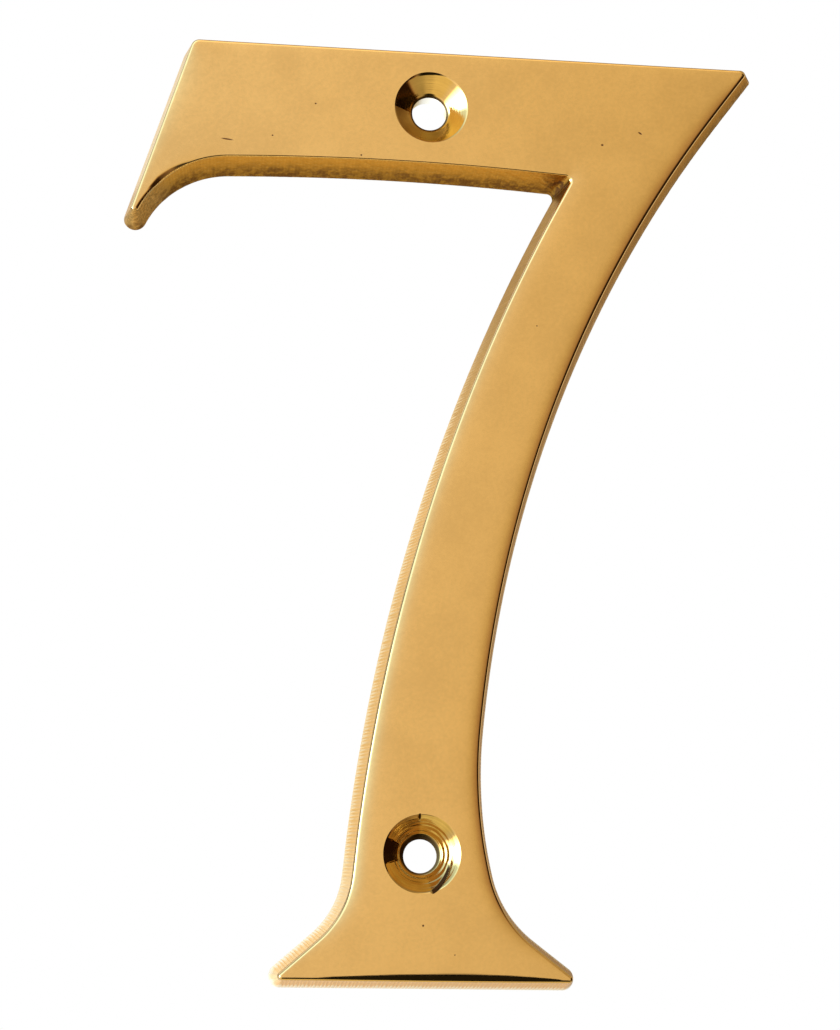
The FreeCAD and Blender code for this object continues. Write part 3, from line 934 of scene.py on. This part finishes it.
# Soft lights and dark screens round the numeral: direction, half width of the even middle and of the
# whole in degrees, and strength. A screen's strength is the share of the light that it takes away.
LIGHTS = {
    "front card": ((-0.20, -0.96, 0.15), 28, 70, 0.45),
    "left window": ((-0.93, -0.27, -0.08), 13, 29, 5.00),
    "left glow": ((-0.85, -0.50, 0.15), 10, 55, 0.60),
    "top light": ((-0.10, -0.60, 0.79), 8, 30, 0.90),
    "table": ((-0.30, -0.20, -0.93), 15, 50, 0.45),
    "right glint": ((0.82, 0.56, 0.12), 8, 20, 0.70),
    "backdrop left": ((-0.45, 0.88, 0.10), 22, 48, 0.72),
    "backdrop": ((0.05, 0.96, -0.28), 15, 45, 0.50),
}
SCREENS = {
    "front dark": ((0.12, -0.74, -0.66), 16, 28, 0.98),
    "camera dark": ((0.20, -0.92, -0.33), 7, 14, 0.98),
    "left dark": ((-0.86, 0.48, 0.14), 17, 28, 0.95),
    "right dark": ((0.42, 0.90, 0.12), 14, 26, 0.35),
}
ROOM_LIGHT = 0.50


def studio_light(world):
    """Soft studio light, which the camera itself sees as plain white."""
    graph = Graph(world)
    made = graph.node("ShaderNodeTexCoord")
    way = graph.out(made, "Generated")
    parts = graph.node("ShaderNodeSeparateXYZ", Vector=way)
    right, back, up = (graph.out(parts, axis) for axis in "XYZ")

    def lobe(direction, inner, outer):
        axis = Vector(direction).normalized()
        dot = graph.node("ShaderNodeVectorMath", {"operation": "DOT_PRODUCT"}, n0=way, n1=axis)
        wide, narrow = math.cos(math.radians(outer)), math.cos(math.radians(inner))
        return graph.ramp(graph.out(dot, "Value"), wide, narrow)

    light = None
    for direction, inner, outer, strength in LIGHTS.values():
        part = lobe(direction, inner, outer) * strength
        light = part + ROOM_LIGHT if light is None else light + part
    for direction, inner, outer, strength in SCREENS.values():
        light = light * (1 - lobe(direction, inner, outer) * strength)
    # The room is dark to the right, in a band from a little below the numeral to well above it.
    band = graph.ramp(back, 0.40, 0.12) * graph.ramp(up, -0.54, -0.40) * graph.ramp(up, 0.48, 0.40)
    dark = graph.ramp(right, 0.03, 0.76) * band
    light = light * (1 - dark * 0.95)
    tint = graph.blend(graph.ramp(right, -0.15, 0.40), (1.0, 1.03, 1.25, 1.0), (1.0, 0.90, 0.66, 1.0))
    tint = graph.blend(graph.ramp(right, 0.25, 0.47) * band, tint, (1.0, 0.70, 0.52, 1.0))
    tint = graph.blend(graph.ramp(right, 0.50, 0.80) * band, tint, (1.0, 0.50, 0.28, 1.0))
    cool = graph.ramp(right, 0.04, -0.45) * graph.ramp(up, -0.35, -0.10)
    tint = graph.blend(cool, tint, (1.0, 1.55, 2.80, 1.0))
    tint = graph.blend(graph.ramp(up, -0.50, -0.75), tint, (1.0, 0.97, 0.72, 1.0))
    low = graph.ramp(up, -0.60, -0.42) * graph.ramp(up, -0.05, -0.25)
    pale = graph.maths("MAXIMUM", graph.ramp(right, -0.10, -0.40), low)
    rear = graph.blend(pale, (1.0, 0.96, 0.83, 1.0), (1.0, 1.20, 1.60, 1.0))
    tint = graph.blend(graph.ramp(back, -0.15, 0.35), tint, rear)
    studio = graph.node("ShaderNodeBackground", None, Color=tint, Strength=light)
    white = graph.node("ShaderNodeBackground", None, Color=(1.0, 1.0, 1.0, 1.0), Strength=1.0)
    path = graph.node("ShaderNodeLightPath")
    mixed = graph.node("ShaderNodeMixShader", None, n0=graph.out(path, "Is Camera Ray"),
                       n1=graph.out(studio), n2=graph.out(white))
    graph.node("ShaderNodeOutputWorld", None, Surface=graph.out(mixed))


def place_camera(stage):
    """Camera that stands a little to the left and below, and looks up at the numeral."""
    turn, rise, roll = stage.camera_turn, stage.camera_rise, stage.camera_roll
    ahead = Vector((math.sin(turn) * math.cos(rise), math.cos(turn) * math.cos(rise), math.sin(rise)))
    level = ahead.cross(Vector((0, 0, 1))).normalized()
    upright = level.cross(ahead)
    right = level * math.cos(roll) + upright * math.sin(roll)
    up = upright * math.cos(roll) - level * math.sin(roll)
    data = bpy.data.cameras.new("camera")
    data.lens = stage.camera_lens
    data.sensor_width = SENSOR_WIDTH
    data.clip_start = 0.01
    data.clip_end = 50
    camera = bpy.data.objects.new("camera", data)
    bpy.context.scene.collection.objects.link(camera)
    turned = Matrix((right, up, -ahead)).transposed().to_4x4()
    place = Vector(stage.camera_target) - ahead * stage.camera_distance
    camera.matrix_world = Matrix.Translation(place) @ turned
    bpy.context.scene.camera = camera


class DOOR_NUMBER_OT_stage(bpy.types.Operator):
    """Adds the pale floor, the soft light and the camera"""

    bl_idname = "door_number.stage"
    bl_label = "Studio"

    def execute(self, context):
        scene = context.scene
        stage = scene.door_number_stage
        deselect()
        bpy.ops.mesh.primitive_grid_add(
            x_subdivisions=2, y_subdivisions=2, size=3.0,
            location=(0, 0, CAD_BOX[0].z - stage.floor_drop))
        floor = context.object
        floor.name = "floor"
        bpy.ops.object.transform_apply(location=True, rotation=True, scale=True)
        material = bpy.data.materials.new("pale floor")
        graph = Graph(material)
        finish_material(graph, None, Base_Color=(*stage.floor_colour, 1.0), Roughness=0.8)
        floor.data.materials.append(material)
        floor.visible_glossy = False

        world = bpy.data.worlds.new("studio")
        scene.world = world
        studio_light(world)
        scene.view_settings.view_transform = "Standard"
        place_camera(stage)
        return {"FINISHED"}


class DOOR_NUMBER_PT_panel(bpy.types.Panel):
    """Lists the steps and their sizes"""

    bl_idname = "DOOR_NUMBER_PT_panel"
    bl_label = "Door number"
    bl_space_type = "VIEW_3D"
    bl_region_type = "UI"
    bl_category = "Door number"

    def draw(self, context):
        layout = self.layout
        for operator, settings in (
            (DOOR_NUMBER_OT_numeral, context.scene.door_number_sizes),
            (DOOR_NUMBER_OT_stage, context.scene.door_number_stage),
        ):
            box = layout.box()
            box.operator(operator.bl_idname)
            for name in settings.__annotations__:
                box.prop(settings, name)


CLASSES = (
    DoorNumberSizes,
    DoorNumberStage,
    DOOR_NUMBER_OT_numeral,
    DOOR_NUMBER_OT_stage,
    DOOR_NUMBER_PT_panel,
)


def register():
    for item in CLASSES:
        bpy.utils.register_class(item)
    bpy.types.Scene.door_number_sizes = bpy.props.PointerProperty(type=DoorNumberSizes)
    bpy.types.Scene.door_number_stage = bpy.props.PointerProperty(type=DoorNumberStage)


def unregister():
    del bpy.types.Scene.door_number_stage
    del bpy.types.Scene.door_number_sizes
    for item in reversed(CLASSES):
        bpy.utils.unregister_class(item)


def main():
    register()
    bpy.ops.door_number.numeral()
    bpy.ops.door_number.stage()


if __name__ == "__main__":
    main()
